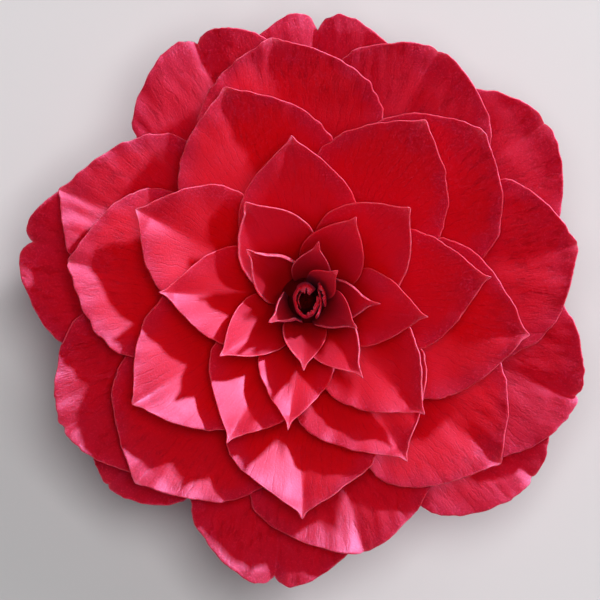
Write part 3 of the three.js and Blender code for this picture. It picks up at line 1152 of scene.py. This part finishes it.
@dataclass
class PetalSheet:
    """The fine sheet of one petal, with its own unevenness."""

    petal: Petal
    place: int
    form: BloomForm
    wave_phase: tuple[float, float]
    lift: float
    roll: float
    detail: PetalDetail = PetalDetail()

    def __post_init__(self) -> None:
        """Draws the petal's own unevenness."""
        detail, reach = self.detail, self.petal.reach
        self.spread = self.form.spread(self.place)
        self.size = min(1.0, reach / detail.grown_reach)
        self.unevenness = float(detail.unevenness_by_reach.of(reach))
        self.pointedness = 1 - detail.tip_lost_if_full * self.petal.fullness
        self.dents = detail.dent_waver.drawn(self.place)
        self.ragged = detail.ragged_waver.drawn(self.place)
        self.nicks = detail.nick_waver.drawn(self.place)
        self.crinkles = detail.crinkle_waver.drawn(self.place)
        rng = np.random.RandomState(detail.fold_seed + self.place)
        broad = reach > detail.broad_reach
        self.fold_strength = detail.broad_fold if broad else rng.uniform(*detail.narrow_folds)
        self.frill = detail.frill_waver.drawn(self.place)

    def sheet(self) -> Sheet:
        """Lays the petal out.

        Returns:
            Its two faces and the traits that its finish reads.
        """
        petal, detail = self.petal, self.detail
        along, across = self._rows_and_columns()
        widest = np.where(across > 0, petal.left, petal.right)
        half = self.form.half_width(widest, along, petal.shoulder, petal.fullness)
        half = half * self._drawn_to_tip(along) + self._nibbled(along, across)
        side = across * half
        out = along * petal.reach + self._lobes(side, along) + self._end_tail(along)
        edge = to_margin(along, across, half, petal.reach)
        middle = np.stack([out, side, self._height(out, side, edge)], axis=-1)
        middle, curl = self._rolled(middle, along, across, half)
        rounding = rounded(edge, detail.rim_width)
        thick = detail.rim_thickness + (detail.thickness - detail.rim_thickness) * rounding
        offset = facing(middle) * thick[..., None] / 2
        tip_curl = np.exp(-(1 - along) * petal.reach / detail.tip_curl_over)
        tip_curl = detail.tip_curl * tip_curl * self.pointedness
        traits = {
            "along": along,
            "lane": self._lane(out, side),
            "out": out,
            "margin": edge,
            "curl": np.maximum(curl, tip_curl),
            "outer": self.place / len(PETALS),
            "seed": detail.seed_step * self.place,
        }
        return Sheet(turned(middle + offset, petal.turn), turned(middle - offset, petal.turn), traits)

    def _rows_and_columns(self) -> tuple[Grid, Grid]:
        """The shares along and across the petal at which points lie, closer together near its margins.

        Returns:
            The rows' shares of the reach and the columns' shares of the half width.
        """
        petal, detail = self.petal, self.detail
        rows = int(detail.fewest_rows + detail.rows_per_mm * petal.reach)
        columns = 2 * int(detail.fewest_columns + detail.columns_per_mm * petal.reach) + 1
        crowding = detail.row_crowding + detail.row_crowding_if_full * petal.fullness
        root_share = self.form.root_reach(self.spread) / petal.reach
        along = root_share + (1 - root_share) * crowded(rows, crowding)
        steps = np.linspace(-1.0, 1.0, columns)
        across = detail.even_columns * steps + (1 - detail.even_columns) * np.sin(math.pi / 2 * steps)
        return along, across[None, :]

    def _lane(self, out: Grid, side: Grid) -> Grid:
        """Which of the lines that fan out from the root a point lies on."""
        return side / (out + self.detail.lane_root * self.petal.reach)

    def _drawn_to_tip(self, along: Grid) -> Grid:
        """Draws the margins in just before a pointed tip.

        Args:
            along: shares of the reach.

        Returns:
            What is left of the half width at each.
        """
        detail = self.detail
        before_tip = (1 - along) * self.petal.reach
        over = detail.drawn_over * (detail.drawn_over_least + self.size)
        return 1 - detail.drawn_in * self.pointedness * np.exp(-before_tip / over)

    def _nibbled(self, along: Grid, across: Grid) -> Grid:
        """Small unevenness of the side margins.

        Args:
            along: shares of the reach.
            across: shares of the half width.

        Returns:
            What each half width gains.
        """
        detail = self.detail
        place = along * self.petal.reach
        nibbles = detail.coarse_nibbles * self.ragged.at(place, detail.nibbles_apart * np.sign(across))
        nibbles = nibbles + detail.fine_nibbles * self.nicks.at(place, np.sign(across))
        return self.unevenness * nibbles * detail.nibbles_along.of(along) * detail.margin_ends.of(along)

    def _end_tail(self, along: Grid) -> Grid:
        """How far a fine point stands out of the tip, at shares of the reach."""
        before_tip = (1 - along) * self.petal.reach
        return self.detail.tail * self.pointedness * np.exp(-((before_tip / self.detail.tail_over) ** 2))

    def _lobes(self, side: Grid, along: Grid) -> Grid:
        """How far the end stands out beside its notch, with small teeth on a round end.

        Args:
            side: distances from the middle line.
            along: shares of the reach.

        Returns:
            How much further out each point lies.
        """
        petal, detail = self.petal, self.detail
        lobe = np.abs(side) / self.form.lobe_half_width
        teeth = detail.coarse_teeth * self.ragged.at(side, detail.coarse_teeth_row)
        teeth = teeth + detail.fine_teeth * self.nicks.at(side, detail.fine_teeth_row)
        teeth = self.unevenness * petal.fullness * teeth
        lobes = petal.notch * lobe * np.exp(1 - lobe)
        return lobes * along**detail.notch_power + teeth * along**detail.teeth_power

    def _height(self, out: Grid, side: Grid, edge: Grid) -> Grid:
        """The height of the sheet's middle.

        Args:
            out: distances from the axis along the petal's middle line.
            side: distances from that line.
            edge: distances from the margin.

        Returns:
            A height for each point.
        """
        petal, form, detail = self.petal, self.form, self.detail
        share = np.minimum(1.0, out / petal.reach)
        outwards = np.minimum(1.0, np.abs(side) / np.where(side > 0, petal.left, petal.right))
        margin = outwards**2 * share**2
        phase = np.where(side > 0, self.wave_phase[0], self.wave_phase[1])
        ruffle = form.ruffle_share * petal.reach * margin * np.sin(form.ruffle_waves * share + phase)
        stance = self.lift * share**2 + self.roll * side * share
        fold = self.fold_strength * form.keel(side, share)
        pillow = detail.pillow * self.size * np.sin(math.pi * outwards**detail.pillow_power) * share**2
        plain = form.height(np.hypot(out, side), self.spread) + form.cup * margin + ruffle + stance
        height = plain + fold + pillow + self._end_height(side, share)
        height = height + self._face_height(out, side, share, edge)
        above = np.maximum(0.0, height - detail.eased_from)
        return height - above + detail.eased_over * (1 - np.exp(-above / detail.eased_over))

    def _end_height(self, side: Grid, share: Grid) -> Grid:
        """How a pointed end hooks up and folds to a pinch, and a notched one has a crease.

        Args:
            side: distances from the middle line.
            share: shares of the reach.

        Returns:
            What each height gains.
        """
        petal, detail = self.petal, self.detail
        hook = detail.hook * detail.hook_along.of(share) * self.pointedness
        before_tip = (1 - share) * petal.reach
        beside = np.hypot(side, detail.pinch_softness) - detail.pinch_softness
        over = detail.pinch_over + detail.pinch_over_by_reach * petal.reach
        pinch = (1 - np.exp(-beside / detail.pinch_width)) * np.exp(-before_tip / over)
        pinch = detail.pinch * pinch * (1 - detail.pinch_lost_if_full * petal.fullness)
        crease = np.exp(-((side / detail.crease_width) ** 2)) * share**detail.crease_power
        return hook + pinch - petal.notch * detail.crease * crease

    def _face_height(self, out: Grid, side: Grid, share: Grid, edge: Grid) -> Grid:
        """The frill along the margin, and the crinkles and dents of the face.

        Args:
            out: distances from the axis along the petal's middle line.
            side: distances from that line.
            share: shares of the reach.
            edge: distances from the margin.

        Returns:
            What each height gains.
        """
        detail, reach = self.detail, self.petal.reach
        round_end = np.arctan2(side, out - detail.frill_centre * reach) * (1 - detail.frill_centre) * reach
        frill_width = detail.frill_width + detail.frill_width_by_reach * reach
        frill = self.frill.at(round_end, 0 * side) * np.exp(-edge / frill_width)
        frill = frill * detail.frill_height * self.size * detail.frill_along.of(share)
        crinkles = self.crinkles.at(detail.crinkle_length * out, self._lane(out, side) * reach)
        crinkles = detail.crinkles * crinkles * detail.crinkles_out.of(out)
        dents = detail.dents * self.size * self.dents.at(out, side) * detail.dents_along.of(share)
        return frill + crinkles + dents

    def _rolled(self, middle: Grid, along: Grid, across: Grid, half: Grid) -> tuple[Grid, Grid]:
        """Rolls the margins over, up and inwards.

        Args:
            middle: points of the sheet's middle surface.
            along: the rows' shares of the reach.
            across: the columns' shares of the half width.
            half: the half width at each point.

        Returns:
            The points with their margins rolled, and how much of the paler back shows at each.
        """
        detail = self.detail
        margins = ROLLED_MARGINS.get(self.place + 1, PLAIN_MARGIN)
        shown = detail.roll_along.of(along) * detail.margin_ends.of(along)
        width = np.where(across > 0, margins.left_width, margins.right_width) * shown
        width = np.minimum(width, detail.widest_roll * half)
        angle = np.where(across > 0, margins.left_angle, margins.right_angle) * shown
        curve = width / np.maximum(angle, detail.least_roll)
        past = np.maximum(0.0, width - (1 - np.abs(across)) * half)
        turn = past / np.maximum(curve, TINY)
        rolls = angle > detail.least_roll
        rolled = middle.copy()
        rolled[..., 1] -= np.sign(across) * np.where(rolls, past - curve * np.sin(turn), 0.0)
        rolled[..., 2] += np.where(rolls, curve * (1 - np.cos(turn)), 0.0)
        return rolled, CURL_SHOWN.of(turn * np.minimum(1.0, angle))


def settle(ob: bpy.types.Object, axis: Vector, material: bpy.types.Material, node: Node) -> None:
    """Moves a piece's mesh onto the bloom's axis, dresses it and lets it ride on the body.

    Args:
        ob: the piece.
        axis: where the bloom's axis meets the surface, in metres.
        material: its material.
        node: the solid that the piece stands for.
    """
    for vertex in ob.data.vertices:
        vertex.co += axis
    ob.data.materials.append(material)
    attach(ob, "root")
    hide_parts(node.value)
    LOG.info("%s: %d faces", ob.name, len(ob.data.polygons))


@dataclass
class Corolla:
    """All the petals, in their spiral round the heart."""

    form: BloomForm = field(default_factory=BloomForm)
    random_seed: int = 20

    def build(self, axis: Vector, material: bpy.types.Material) -> None:
        """Builds and dresses every petal, from the heart outwards.

        Args:
            axis: where the bloom's axis meets the surface, in metres.
            material: the petals' material.
        """
        draws = SeededDraws(self.random_seed)
        for place, petal in enumerate(PETALS):
            phases = (draws.draw() * math.tau, draws.draw() * math.tau)
            lift = self.form.lift * (2 * draws.draw() - 1)
            roll = self.form.roll * (2 * draws.draw() - 1)
            sheet = PetalSheet(petal, place, self.form, phases, lift, roll).sheet()
            settle(sheet.to_object(f"petal_{place + 1:02d}"), axis, material, Node.PETALS)


@dataclass(frozen=True)
class HeartFold:
    """One of the innermost petals: a wall round part of the heart, with its lip rolled inwards.

    turn and half_angle are in degrees, lengths in millimetres. curl is how far the lip rolls, in radians.
    lean is how far the wall leans inwards at its top. notch is how deep the lip is parted in its middle, as
    a share. pale is how much of the paler back shows on it.
    """

    turn: float
    half_angle: float
    radius: float
    top: float
    lip: float
    curl: float
    lean: float = 0.0
    notch: float = 0.0
    pale: float = 0.2


@dataclass
class Heart:
    """The innermost petals, folded to a small tube round a pit, on the receptacle. The pit, the folds' lower
    parts and the receptacle are painted dark as shade.
    """

    folds: tuple[HeartFold, ...] = (
        HeartFold(200, 104, 1.98, 31.2, 0.16, 2.4, pale=0.08),
        HeartFold(322, 56, 2.08, 31.2, 0.27, 2.5, notch=0.2, pale=0.25),
        HeartFold(88, 46, 2.12, 31.9, 0.56, 2.2, lean=0.2, notch=0.42, pale=0.6),
        HeartFold(17, 31, 2.90, 30.7, 0.32, 2.2, lean=-0.5, notch=0.3, pale=0.35),
        HeartFold(352, 46, 2.62, 30.2, 0.22, 1.6),
        HeartFold(150, 80, 1.35, 28.8, 0.20, 1.4),
    )
    rows: int = 44
    columns: int = 72
    row_crowding: float = 2.2
    stretch: float = 1.34
    shift: float = -0.1
    bottom: float = 23.0
    thickness: float = 0.26
    rim_share: float = 0.35
    rim_width: float = 0.4
    belly: float = 0.18
    lean_power: int = 4
    ends_power: int = 5

    # How the wall's top and the lip vary along the fold.
    waver_seed: int = 40
    waver_count: int = 5
    waver_first: int = 3
    waver_step: int = 4
    waver_weight: float = 1.5
    wall_waver: float = 0.28
    wall_ends: float = 1.6
    lip_waver: float = 0.16
    lip_nicks: float = 0.3
    lip_ends: float = 0.5
    parting_width: float = 0.2
    nick_waver: Waver = Waver(70, 0.5, 7)
    out_of_round: tuple[tuple[float, int, int], ...] = ((0.035, 3, 1), (0.02, 7, 2))

    # What the finish reads.
    along_start: float = 0.3
    along_gain: float = 0.6
    lanes: float = 0.8
    # out sets how far the painted shade of the pit and the roots darkens the folds, most at their bottom.
    out_at_lip: float = 5.6
    out_power: float = 1.5
    first_seed: float = 11.0

    profile: Profile = ((0.6, 9.4), (7.6, 9.3), (8.6, 11.0), (7.4, 15.0), (6.0, 19.0), (3.2, 23.0),
                        (1.4, 25.5), (0.3, 26.0))
    profile_rows: int = 40
    profile_columns: int = 48
    profile_lobes: int = 5
    profile_lobe_height: float = 0.03
    hollow_share: float = 0.5

    def build(self, axis: Vector, material: bpy.types.Material) -> None:
        """Builds the folded petals and the receptacle.

        Args:
            axis: where the bloom's axis meets the surface, in metres.
            material: the petals' material.
        """
        for index, fold in enumerate(self.folds):
            ob = self._folded(fold, index).to_object(f"heart_petal_{index + 1}")
            settle(ob, axis, material, Node.PETALS)
        settle(self._receptacle().to_object("receptacle"), axis, material, Node.PETALS)

    def _folded(self, fold: HeartFold, index: int) -> Sheet:
        """One folded petal.

        Args:
            fold: its place and size.
            index: its number, for its own nibbled lip.

        Returns:
            Its sheet.
        """
        across = np.linspace(-1.0, 1.0, self.columns)[None, :]
        half_angle = math.radians(fold.half_angle)
        angle = math.radians(fold.turn) + half_angle * across
        wall, lip = self._wall_and_lip(fold, index, across, angle)
        share = crowded(self.rows, self.row_crowding)
        path = share * (wall + lip)
        rolled = np.maximum(0.0, path - wall) / fold.lip
        rise = np.minimum(path, wall)
        height = self.bottom + rise + fold.lip * np.sin(rolled)
        radius = fold.radius + self.belly * np.sin(math.pi * rise / wall) - fold.lip * (1 - np.cos(rolled))
        radius = radius - fold.lean * (rise / wall) ** self.lean_power
        middle = self._stretched(radius * self._roundness(angle, index), angle, height)
        edge = np.minimum(wall + lip - path, (1 - np.abs(across)) * half_angle * fold.radius)
        thick = self.thickness * (self.rim_share + (1 - self.rim_share) * rounded(edge, self.rim_width))
        offset = facing(middle) * thick[..., None] / 2
        traits = {
            "along": self.along_start + self.along_gain * share,
            "lane": self.lanes * across,
            "out": self.out_at_lip * share**self.out_power,
            "margin": edge,
            "curl": fold.pale * CURL_SHOWN.of(rolled),
            "outer": 0.0,
            "seed": self.first_seed + index,
        }
        return Sheet(middle + offset, middle - offset, traits, pointed=False)

    def _wall_and_lip(self, fold: HeartFold, index: int, across: Grid, angle: Grid) -> tuple[Grid, Grid]:
        """How high the wall stands and how long its rolled lip is, along the fold.

        Args:
            fold: the fold's place and size.
            index: its number.
            across: the columns' shares of the half angle.
            angle: the columns' angles.

        Returns:
            The wall's heights over its bottom, and the lip's lengths.
        """
        rng = np.random.RandomState(self.waver_seed + index)
        waver = np.zeros_like(across)
        for k, phase in enumerate(rng.uniform(0.0, math.tau, self.waver_count)):
            waves = self.waver_first + self.waver_step * k
            waver += np.sin(waves * across + phase) / (self.waver_weight + k)
        ends = np.abs(across) ** self.ends_power
        wall = fold.top - fold.lip + self.wall_waver * waver - self.wall_ends * ends - self.bottom
        nicks = self.nick_waver.drawn(index).at(angle * fold.radius, 0 * angle)
        parting = fold.notch * np.exp(-((across / self.parting_width) ** 2))
        length = 1 + self.lip_waver * waver + self.lip_nicks * nicks - self.lip_ends * ends - parting
        return wall, fold.lip * fold.curl * length

    def _roundness(self, angle: Grid, index: int) -> Grid:
        """What a fold's radii are multiplied by at these angles, as the tube is out of round."""
        waves = [depth * np.sin(count * angle + step * index) for depth, count, step in self.out_of_round]
        return 1 + sum(waves)

    def _stretched(self, radius: Grid, angle: Grid, height: Grid) -> Grid:
        """Points of the tube, which is longer across the bloom than it is wide.

        Args:
            radius: distances from the heart's own middle line, before the stretch.
            angle: the columns' angles.
            height: heights.

        Returns:
            The points.
        """
        points = revolved(radius, height, angle)
        points[..., 1] = points[..., 1] * self.stretch + self.shift
        return points

    def _receptacle(self) -> Sheet:
        """The short stem inside the bloom that all petals stand on.

        Returns:
            Its sheet.
        """
        radius, height = along_profile(self.profile, self.profile_rows)
        angle = full_turn(self.profile_columns)
        radius = radius * (1 + self.profile_lobe_height * np.sin(self.profile_lobes * angle))
        inner = revolved(radius * self.hollow_share, height, angle)
        # An out of 2 gives the receptacle the near-black painted shade of the pit.
        traits = {"along": 0.1, "lane": 0.0, "out": 2.0, "margin": 5.0, "curl": 0.0, "outer": 0.0,
                  "seed": 5.0}
        return Sheet(inner, revolved(radius, height, angle), traits, pointed=False, around=True)


# ---------------------------------------------------------------- calyx and stalk


@dataclass(frozen=True)
class ScaleRing:
    """A ring of bracts or sepals, as in the solids. turn is in degrees, lengths are in millimetres."""

    name: str
    count: int
    turn: float
    reach: float
    half_width: float
    foot: float
    tip: float


@dataclass
class Calyx:
    """Overlapping bracts and sepals that clasp the bloom, with a cup inside them."""

    rings: tuple[ScaleRing, ...] = (
        ScaleRing("lower_bract", 3, 20, 7.6, 3.9, 1.1, 3.6),
        ScaleRing("bract", 5, 50, 10.4, 4.9, 1.9, 7.2),
        ScaleRing("sepal", 5, 14, 14.2, 6.8, 3.2, 13.0),
    )
    root_out: float = 3.6
    rise_power: float = 1.7
    keel: float = 0.18
    keel_width: float = 1.2
    unevenness: float = 0.12
    waver: Waver = Waver(900, 4.0)
    waver_by_reach: float = 10.0
    thickness: float = 0.8
    rim_thickness: float = 0.2
    rim_width: float = 1.2
    rows: int = 30
    row_crowding: float = 2.0
    columns: int = 27
    margin_columns: tuple[float, float] = (0.985, 1.0)
    inner_columns_end: float = 0.95
    shoulder: float = 0.6
    fullness: float = 1.0
    slope_step: float = 0.05
    clearance: float = 0.05
    seed_step: float = 2.3

    cup_outside: Profile = ((2.5, 0.0), (6.0, 0.0), (8.0, 1.6), (9.8, 4.4), (10.4, 7.4), (9.6, 8.7),
                            (0.4, 8.7))
    cup_inside: Profile = ((2.5, 0.4), (2.5, 1.5), (2.5, 2.5), (2.5, 3.2), (2.2, 3.7), (1.5, 3.7),
                           (0.4, 3.7))
    cup_rows: int = 44
    cup_columns: int = 64
    cup_hairs: float = 3.0

    finish: ScaleFinish = field(default_factory=ScaleFinish)
    form: BloomForm = field(default_factory=BloomForm)

    def build(self, axis: Vector) -> None:
        """Builds and dresses the calyx.

        Args:
            axis: where the bloom's axis meets the surface, in metres.
        """
        material = self.finish.material("bract_leather")
        settle(self._cup().to_object("calyx_cup"), axis, material, Node.CALYX)
        for ring in self.rings:
            for index in range(ring.count):
                ob = self._scale(ring, index).to_object(f"{ring.name}_{index + 1}")
                settle(ob, axis, material, Node.CALYX)

    def _height(self, ring: ScaleRing, out: Grid, side: Grid, uneven: Undulation) -> Grid:
        """The height of a scale's middle.

        Args:
            ring: the ring it stands in.
            out: distances from the axis along its middle line.
            side: distances from that line.
            uneven: its own unevenness.

        Returns:
            A height for each point.
        """
        share = np.maximum(0.0, (np.hypot(out, side) - self.root_out) / (ring.reach - self.root_out))
        keel = self.keel * np.exp(-((side / self.keel_width) ** 2)) * share
        plain = ring.foot + (ring.tip - ring.foot) * share**self.rise_power
        return plain - keel + self.unevenness * uneven.at(out, side)

    def _scale(self, ring: ScaleRing, index: int) -> Sheet:
        """One bract or sepal.

        Args:
            ring: the ring it stands in.
            index: its number in the ring.

        Returns:
            Its sheet.
        """
        uneven = self.waver.drawn(index + int(self.waver_by_reach * ring.reach))
        root_share = self.root_out / ring.reach
        along = root_share + (1 - root_share) * crowded(self.rows, self.row_crowding)
        inner = np.linspace(-self.inner_columns_end, self.inner_columns_end, self.columns)
        outer = np.array(self.margin_columns)
        across = np.concatenate([-outer[::-1], inner, outer])[None, :]
        half = self.form.half_width(ring.half_width, along, self.shoulder, self.fullness)
        side = across * half
        out = along * ring.reach + 0 * across
        edge = to_margin(along, across, half, ring.reach)
        thick = self.rim_thickness + (self.thickness - self.rim_thickness) * rounded(edge, self.rim_width)
        height = self._height(ring, out, side, uneven)
        slope_out = (self._height(ring, out + self.slope_step, side, uneven) - height) / self.slope_step
        slope_side = (self._height(ring, out, side + self.slope_step, uneven) - height) / self.slope_step
        normal = np.stack([-slope_out, -slope_side, np.ones_like(height)], axis=-1)
        normal = normal / np.linalg.norm(normal, axis=-1, keepdims=True)
        middle = np.stack([out, side, height], axis=-1)
        turn = ring.turn + 360 / ring.count * index
        faces = [turned(middle + sign * normal * thick[..., None] / 2, turn) for sign in (1, -1)]
        for face in faces:
            face[..., 2] = np.maximum(face[..., 2], self.clearance)
        seed = self.seed_step * index + ring.reach
        traits = {"along": along, "across": across, "margin": edge, "seed": seed}
        return Sheet(faces[0], faces[1], traits)

    def _cup(self) -> Sheet:
        """The cup under the bloom, with its flat foot and the socket for the stalk.

        Returns:
            Its sheet.
        """
        angle = full_turn(self.cup_columns)
        inside, outside = (revolved(*along_profile(profile, self.cup_rows), angle)
                           for profile in (self.cup_inside, self.cup_outside))
        around = np.linspace(-self.cup_hairs, self.cup_hairs, self.cup_columns)[None, :]
        traits = {"along": 0.3, "across": around, "margin": 3.0, "seed": 40.0}
        return Sheet(inside, outside, traits, pointed=False, around=True)


@dataclass
class Stalk:
    """The short stalk under the calyx, broken off where the bloom was picked."""

    profile: Profile = ((0.0, 0.25), (0.5, 0.2), (1.1, 0.05), (1.6, 0.0), (1.95, 0.12), (2.15, 0.5),
                        (2.1, 1.2), (2.15, 2.0), (2.05, 2.75))
    cut: float = 0.6
    cut_rows_under: float = 0.3
    ridges: int = 6
    ridge_height: float = 0.03
    splinters: int = 9
    splinter_height: float = 0.12
    splinter_twist: float = 3.0
    hollow_share: float = 0.6
    hollow_from: float = 0.6
    columns: int = 48
    finish: StalkFinish = field(default_factory=StalkFinish)

    def build(self, axis: Vector) -> None:
        """Builds and dresses the stalk.

        Args:
            axis: where the bloom's axis meets the surface, in metres.
        """
        angle = full_turn(self.columns)
        radius, lift = np.array(self.profile).T[..., None]
        radius = radius * (1 + self.ridge_height * np.sin(self.ridges * angle))
        broken = lift < self.cut_rows_under
        ragged = np.sin(self.splinters * angle + self.splinter_twist * radius)
        ragged = self.splinter_height * ragged * broken
        outer = revolved(radius, self.cut + np.maximum(0.0, lift + ragged), angle)
        inner = outer * np.array([self.hollow_share, self.hollow_share, 1.0])
        inner[..., 2] = np.maximum(outer[..., 2], self.cut + self.hollow_from)
        sheet = Sheet(inner, outer, {"cut": broken.astype(float)}, pointed=False, around=True)
        material = self.finish.material("stalk_bark")
        settle(sheet.to_object("stalk_end"), axis, material, Node.STALK)


# ---------------------------------------------------------------- studio


@dataclass(frozen=True)
class Softbox:
    """A square soft light that faces the bloom. Only one with in_gloss shows in the gloss of surfaces."""

    name: str
    place: tuple[float, float, float]
    side: float
    power: float
    colour: tuple[float, float, float]
    in_gloss: bool = False


@dataclass
class Studio:
    """A pale floor, soft lights and the camera, which looks down on the bloom as the photograph does.

    Lengths are in metres, and the lights' powers in watts.
    """

    softboxes: tuple[Softbox, ...] = (
        Softbox("key_softbox", (0.595, 0.595, 0.34), 0.06, 6.5, (1.0, 0.94, 1.0), in_gloss=True),
        Softbox("overhead_softbox", (0.08, 0.08, 0.95), 0.45, 6.15, (0.98, 0.98, 1.0)),
        Softbox("broad_softbox", (0.52, 0.52, 0.50), 0.5, 1.3, (1.0, 0.94, 1.0)),
    )
    lit_height: float = 0.02
    sky: Colour = (0.88, 0.93, 1.0, 1.0)
    sky_strength: float = 0.12
    floor_half: float = 3.0
    camera_height: float = 0.70
    frame_width: float = 0.105
    frame_height: float = 0.022
    aim_offset: tuple[float, float] = (-0.00105, 0.0)
    sensor: float = 36.0
    nearest: float = 0.01

    def build(self, axis: Vector) -> None:
        """Builds the studio.

        Args:
            axis: where the bloom's axis meets the surface, in metres.
        """
        self._floor()
        self._camera(axis)
        for softbox in self.softboxes:
            self._light(softbox)
        self._sky()
        view = bpy.context.scene.view_settings
        view.view_transform = "Standard"
        view.look = "Medium High Contrast"

    def _sky(self) -> None:
        """Gives the studio a faint even light."""
        world = bpy.data.worlds.new("studio")
        world.use_nodes = True
        background = world.node_tree.nodes["Background"]
        background.inputs["Color"].default_value = self.sky
        background.inputs["Strength"].default_value = self.sky_strength
        world.cycles_visibility.glossy = False
        bpy.context.scene.world = world

    def _floor(self) -> None:
        """Lays the floor under the bloom."""
        half = self.floor_half
        mesh = bpy.data.meshes.new("studio_floor")
        corners = [(-half, -half, 0.0), (half, -half, 0.0), (half, half, 0.0), (-half, half, 0.0)]
        mesh.from_pydata(corners, [], [(0, 1, 2, 3)])
        floor = link(bpy.data.objects.new("studio_floor", mesh))
        floor.data.materials.append(FloorFinish().material("studio_paper"))

    def _light(self, softbox: Softbox) -> None:
        """Hangs a light.

        Args:
            softbox: its place, size, power and colour.
        """
        data = bpy.data.lights.new(softbox.name, "AREA")
        data.shape = "SQUARE"
        data.size = softbox.side
        data.energy = softbox.power
        data.color = softbox.colour
        lamp = link(bpy.data.objects.new(softbox.name, data))
        lamp.location = softbox.place
        lamp.visible_glossy = softbox.in_gloss
        towards = Vector((0, 0, self.lit_height)) - Vector(softbox.place)
        lamp.rotation_euler = towards.to_track_quat("-Z", "Y").to_euler()

    def _camera(self, axis: Vector) -> None:
        """Sets the camera over the bloom, with the photograph's top edge towards +Y.

        Args:
            axis: where the bloom's axis meets the surface, in metres.
        """
        data = bpy.data.cameras.new("camera")
        data.sensor_width = self.sensor
        data.lens = self.sensor * (self.camera_height - self.frame_height) / self.frame_width
        data.clip_start = self.nearest
        camera = link(bpy.data.objects.new("camera", data))
        camera.location = (axis.x + self.aim_offset[0], axis.y + self.aim_offset[1], self.camera_height)
        bpy.context.scene.camera = camera


def main() -> None:
    """Builds the studio, and the bloom round its solids."""
    logging.basicConfig(level=logging.INFO, format="%(name)s: %(message)s")
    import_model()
    low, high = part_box(Node.STALK.value)
    axis = Vector(((low.x + high.x) / 2, (low.y + high.y) / 2, 0.0))
    Studio().build(axis)
    velvet = PetalFinish().material("petal_velvet")
    Corolla().build(axis, velvet)
    Heart().build(axis, velvet)
    Calyx().build(axis)
    Stalk().build(axis)


if __name__ == "__main__":
    main()
